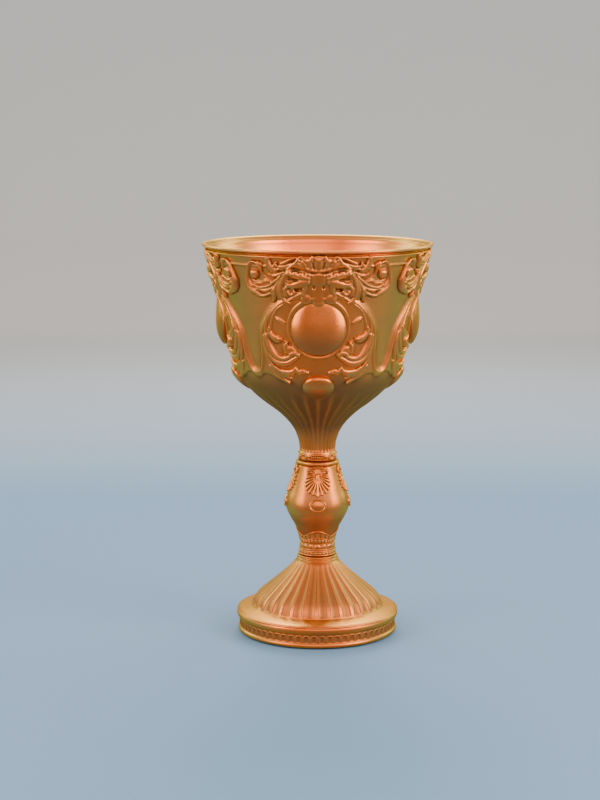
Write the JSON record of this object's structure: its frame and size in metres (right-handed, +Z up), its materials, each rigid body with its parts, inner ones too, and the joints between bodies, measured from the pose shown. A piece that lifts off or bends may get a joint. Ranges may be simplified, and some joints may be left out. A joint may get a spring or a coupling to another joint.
{
  "type": "cup trophy",
  "caption": "Goblet-shaped metal presentation cup with applied scroll cartouches, an urn knop, a fluted trumpet foot and a felt-padded gallery base.",
  "frame": {"origin": "centre of the base at the underside of the felt pad", "axes": "+Z up through the middle of the cup, -Y towards the front cartouche"},
  "size_m": [0.1744, 0.1744, 0.3],
  "materials": {
    "copper_gold": "satin copper-gold plate over cast and chased metal, darker in the hollows and brighter on the high edges",
    "bowl_inside": "smooth satin copper-gold plate, spun",
    "polished_boss": "smooth bright copper-gold plate",
    "plain_steel": "plain zinc-grey steel, out of sight",
    "black_felt": "dense black felt"
  },
  "bodies": {
    "root": {"bowl_liner": "bowl_inside", "bowl_shell": "copper_gold", "rim_bead": "copper_gold", "cartouche_front": "copper_gold", "cartouche_right": "copper_gold", "cartouche_back": "copper_gold", "cartouche_left": "copper_gold", "boss_front": "polished_boss", "boss_right": "polished_boss", "boss_back": "polished_boss", "boss_left": "polished_boss", "drop_front": "polished_boss", "drop_right": "polished_boss", "drop_back": "polished_boss", "drop_left": "polished_boss", "collar_gallery": "copper_gold", "collar_ring": "copper_gold", "knop": "copper_gold", "knop_leaf_front": "copper_gold", "knop_leaf_right": "copper_gold", "knop_leaf_back": "copper_gold", "knop_leaf_left": "copper_gold", "knop_medallion_front": "polished_boss", "knop_medallion_right": "polished_boss", "knop_medallion_back": "polished_boss", "knop_medallion_left": "polished_boss", "knop_calyx": "copper_gold", "stem_bead_upper": "copper_gold", "stem_bead_lower": "copper_gold", "foot": "copper_gold", "foot_gallery": "copper_gold", "tie_rod": "plain_steel", "top_washer": "plain_steel", "top_nut": "plain_steel", "base_plate": "plain_steel", "bottom_washer": "plain_steel", "bottom_nut": "plain_steel", "base_pad": "black_felt"}
  },
  "joints": []
}
